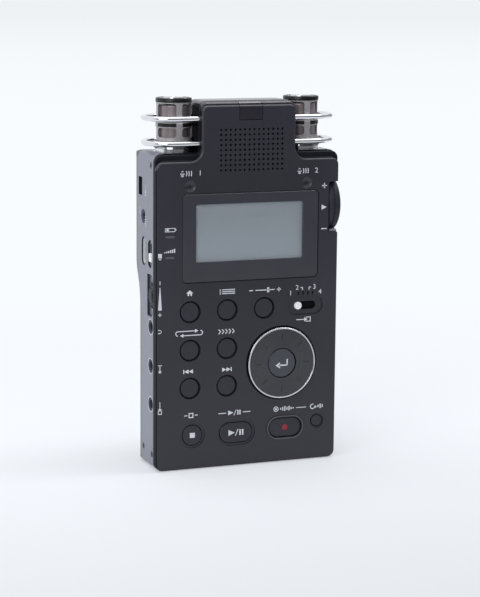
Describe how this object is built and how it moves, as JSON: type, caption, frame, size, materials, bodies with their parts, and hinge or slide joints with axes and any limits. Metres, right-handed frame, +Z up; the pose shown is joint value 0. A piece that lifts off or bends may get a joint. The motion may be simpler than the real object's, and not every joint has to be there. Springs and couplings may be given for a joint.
{
  "type": "audio recorder",
  "caption": "Hand-held stereo audio recorder with guarded microphones, display, jog wheel, transport keys, level dials and line sockets.",
  "frame": {"origin": "centre of the flat base face, half-way through the depth of the case", "axes": "+Z up towards the microphones, the front with the display faces -Y, +X to the viewer's right"},
  "size_m": [0.083, 0.036, 0.153],
  "materials": {
    "cover_plastic": "satin charcoal",
    "frame_metal": "satin grey",
    "case_plastic": "fine matt black",
    "lens_window": "clear window with a dark printed border",
    "display_glass": "unlit grey liquid crystal",
    "remote_plastic": "smoked window",
    "light_pipe": "clear light guide",
    "capsule_metal": "grey metal",
    "speaker_cone": "black cone and magnet",
    "board_laminate": "green laminate",
    "inner_plastic": "black moulded plastic",
    "socket_steel": "bright plated steel",
    "mic_chrome": "bright plated collar",
    "mic_black": "satin black cage",
    "mic_cap": "dark rim with a grey top",
    "guard_chrome": "bright plated wire",
    "cell_wrap": "plain printed wrap",
    "pack_wrap": "plain film wrap",
    "insert_brass": "turned",
    "screw_steel": "dark plated",
    "jog_plastic": "satin black",
    "jog_chrome": "bright plated ring",
    "white_plastic": "white",
    "dial_plastic": "fine matt black",
    "knob_metal": "bright",
    "latch_plastic": "matt black",
    "key_rubber": "satin dark grey",
    "enter_plastic": "glossy dark blue-grey"
  },
  "bodies": {
    "root": {"front_cover": "cover_plastic", "left_side_frame": "frame_metal", "right_side_frame": "frame_metal", "top_block": "case_plastic", "bottom_block": "case_plastic", "rear_cover": "case_plastic", "display_lens": "lens_window", "display_module": "display_glass", "remote_window": "remote_plastic", "light_pipes": "light_pipe", "surface_mics": "capsule_metal", "speaker": "speaker_cone", "front_board": "board_laminate", "main_board": "board_laminate", "jog_encoder": "inner_plastic", "switch_bodies": "inner_plastic", "dial_pots": "inner_plastic", "headphone_jack": "inner_plastic", "line_jacks": "inner_plastic", "remote_jack": "inner_plastic", "usb_socket": "socket_steel", "mic_collars": "mic_chrome", "mic_cages": "mic_black", "mic_caps_and_bands": "mic_cap", "mic_capsules": "capsule_metal", "mic_guards": "guard_chrome", "xlr_inserts": "inner_plastic", "dc_socket": "inner_plastic", "card_slot": "socket_steel", "battery_cells": "cell_wrap", "battery_contacts": "socket_steel", "battery_pack": "pack_wrap", "tripod_insert": "insert_brass", "case_screws": "screw_steel"},
    "home_button": {"home_button": "key_rubber"},
    "menu_button": {"menu_button": "key_rubber"},
    "playback_button": {"playback_button": "key_rubber"},
    "loop_button": {"loop_button": "key_rubber"},
    "quick_button": {"quick_button": "key_rubber"},
    "back_button": {"back_button": "key_rubber"},
    "forward_button": {"forward_button": "key_rubber"},
    "stop_button": {"stop_button": "key_rubber"},
    "play_button": {"play_button": "key_rubber"},
    "record_button": {"record_button": "key_rubber"},
    "auto_button": {"auto_button": "key_rubber"},
    "enter_button": {"enter_button": "enter_plastic"},
    "jog_wheel": {"jog_wheel": "jog_plastic", "jog_ring": "jog_chrome"},
    "input_switch_knob": {"input_switch_knob": "white_plastic"},
    "input_dial": {"input_dial": "dial_plastic"},
    "output_dial": {"output_dial": "dial_plastic"},
    "hold_knob": {"hold_knob": "knob_metal"},
    "battery_door": {"battery_door": "case_plastic"},
    "card_door": {"card_door": "case_plastic"},
    "xlr_latch_left": {"xlr_latch_left": "latch_plastic"},
    "xlr_latch_right": {"xlr_latch_right": "latch_plastic"},
    "gain_switch_knob": {"gain_switch_knob": "white_plastic"},
    "low_cut_knob": {"low_cut_knob": "white_plastic"}
  },
  "joints": [
    {"name": "home_press", "type": "slide", "parent": "root", "child": "home_button", "axis": [0, 1, 0], "range_m": [0, 0.0004], "stiffness_N_per_m": 300},
    {"name": "menu_press", "type": "slide", "parent": "root", "child": "menu_button", "axis": [0, 1, 0], "range_m": [0, 0.0004], "stiffness_N_per_m": 300},
    {"name": "playback_press", "type": "slide", "parent": "root", "child": "playback_button", "axis": [0, 1, 0], "range_m": [0, 0.0004], "stiffness_N_per_m": 300},
    {"name": "loop_press", "type": "slide", "parent": "root", "child": "loop_button", "axis": [0, 1, 0], "range_m": [0, 0.0004], "stiffness_N_per_m": 300},
    {"name": "quick_press", "type": "slide", "parent": "root", "child": "quick_button", "axis": [0, 1, 0], "range_m": [0, 0.0004], "stiffness_N_per_m": 300},
    {"name": "back_press", "type": "slide", "parent": "root", "child": "back_button", "axis": [0, 1, 0], "range_m": [0, 0.0004], "stiffness_N_per_m": 300},
    {"name": "forward_press", "type": "slide", "parent": "root", "child": "forward_button", "axis": [0, 1, 0], "range_m": [0, 0.0004], "stiffness_N_per_m": 300},
    {"name": "stop_press", "type": "slide", "parent": "root", "child": "stop_button", "axis": [0, 1, 0], "range_m": [0, 0.0004], "stiffness_N_per_m": 300},
    {"name": "play_press", "type": "slide", "parent": "root", "child": "play_button", "axis": [0, 1, 0], "range_m": [0, 0.0004], "stiffness_N_per_m": 300},
    {"name": "record_press", "type": "slide", "parent": "root", "child": "record_button", "axis": [0, 1, 0], "range_m": [0, 0.0004], "stiffness_N_per_m": 300},
    {"name": "auto_press", "type": "slide", "parent": "root", "child": "auto_button", "axis": [0, 1, 0], "range_m": [0, 0.0004], "stiffness_N_per_m": 300},
    {"name": "enter_press", "type": "slide", "parent": "root", "child": "enter_button", "axis": [0, 1, 0], "range_m": [0, 0.0004], "stiffness_N_per_m": 300},
    {"name": "jog_spin", "type": "hinge", "parent": "root", "child": "jog_wheel", "pos_m": [0.015, -0.0185, 0.0427], "axis": [0, -1, 0], "continuous": true},
    {"name": "input_switch_slide", "type": "slide", "parent": "root", "child": "input_switch_knob", "axis": [1, 0, 0], "range_m": [0, 0.0064]},
    {"name": "input_dial_turn", "type": "hinge", "parent": "root", "child": "input_dial", "pos_m": [0.0383, -0.0067, 0.10785], "axis": [1, 0, 0], "range_deg": [-135, 135]},
    {"name": "output_dial_turn", "type": "hinge", "parent": "root", "child": "output_dial", "pos_m": [-0.0307, -0.0102, 0.07275], "axis": [0, -1, 0], "range_deg": [-135, 135]},
    {"name": "hold_slide", "type": "slide", "parent": "root", "child": "hold_knob", "axis": [0, 0, 1], "range_m": [0, 0.0034]},
    {"name": "battery_door_open", "type": "hinge", "parent": "root", "child": "battery_door", "pos_m": [0, 0.0166, 0.0895], "axis": [-1, 0, 0], "range_deg": [0, 95]},
    {"name": "card_door_open", "type": "hinge", "parent": "root", "child": "card_door", "pos_m": [0.0393, -0.0006, 0.0476], "axis": [0, 0, 1], "range_deg": [0, 95]},
    {"name": "xlr_latch_left_press", "type": "slide", "parent": "root", "child": "xlr_latch_left", "axis": [0, 0, 1], "range_m": [0, 0.0015], "stiffness_N_per_m": 400},
    {"name": "xlr_latch_right_press", "type": "slide", "parent": "root", "child": "xlr_latch_right", "axis": [0, 0, 1], "range_m": [0, 0.0015], "stiffness_N_per_m": 400},
    {"name": "gain_switch_slide", "type": "slide", "parent": "root", "child": "gain_switch_knob", "axis": [-1, 0, 0], "range_m": [0, 0.0034]},
    {"name": "low_cut_slide", "type": "slide", "parent": "root", "child": "low_cut_knob", "axis": [-1, 0, 0], "range_m": [0, 0.0034]}
  ]
}
